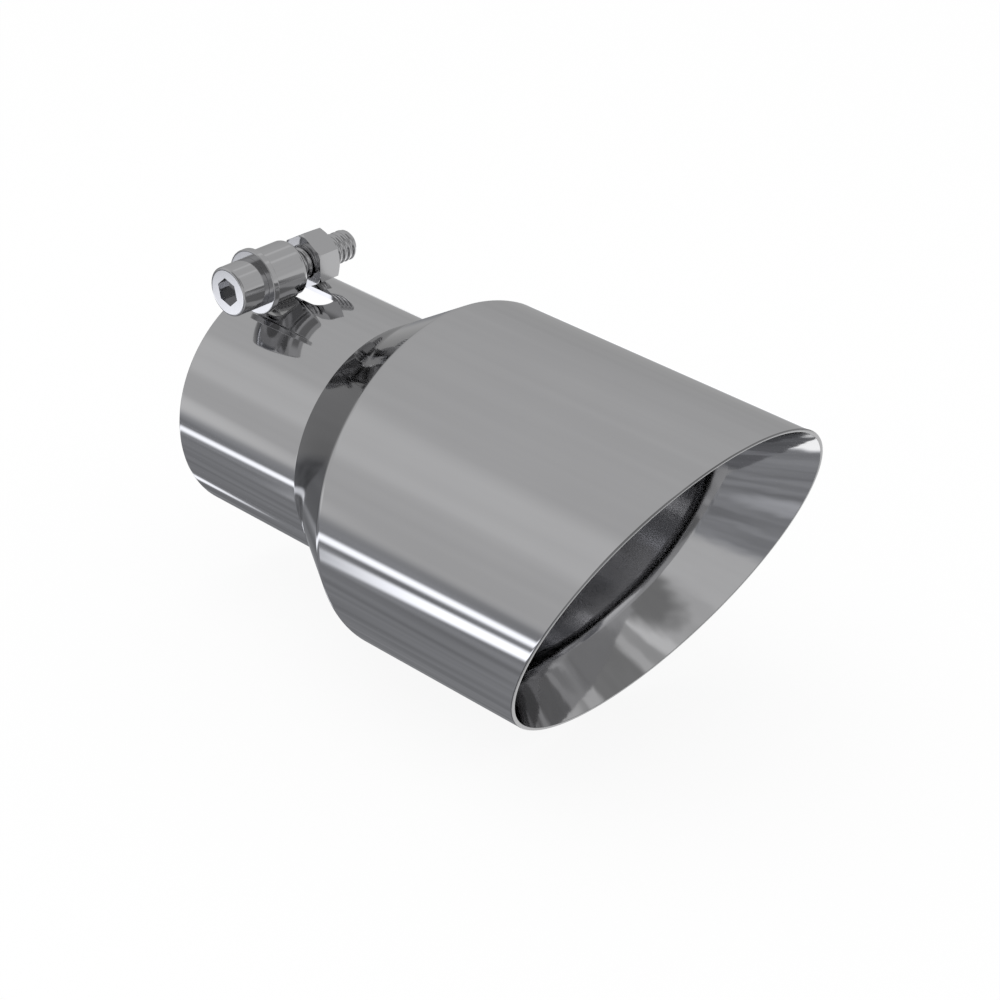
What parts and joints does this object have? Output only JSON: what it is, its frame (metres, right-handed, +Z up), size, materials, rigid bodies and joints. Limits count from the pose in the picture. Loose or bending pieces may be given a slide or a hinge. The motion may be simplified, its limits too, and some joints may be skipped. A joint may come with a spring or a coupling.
{
  "type": "exhaust tip",
  "caption": "Clamp-on double-walled exhaust tip in polished steel, with a slanted mouth, a flared liner and a slotted inlet tube.",
  "frame": {"origin": "centre of the inlet tube's open end, on the tip's axis", "axes": "+X along the tip's axis to the outlet, +Z up through the clamp slot, the clamp screw along Y with its head towards -Y"},
  "size_m": [0.2013, 0.1142, 0.1161],
  "materials": {
    "polished_steel": "mirror-polished stainless steel sheet, faint lines along the axis",
    "fastener_steel": "bright steel, smooth turned and pressed faces",
    "weld_steel": "bright weld metal, lightly rippled"
  },
  "bodies": {
    "root": {"inlet_tube": "polished_steel", "outer_shell": "polished_steel", "inner_liner": "polished_steel", "clamp_screw": "fastener_steel", "clamp_washer": "fastener_steel", "clamp_lug": "fastener_steel", "lug_weld": "weld_steel", "clamp_nut": "fastener_steel", "nut_weld": "weld_steel"}
  },
  "joints": []
}
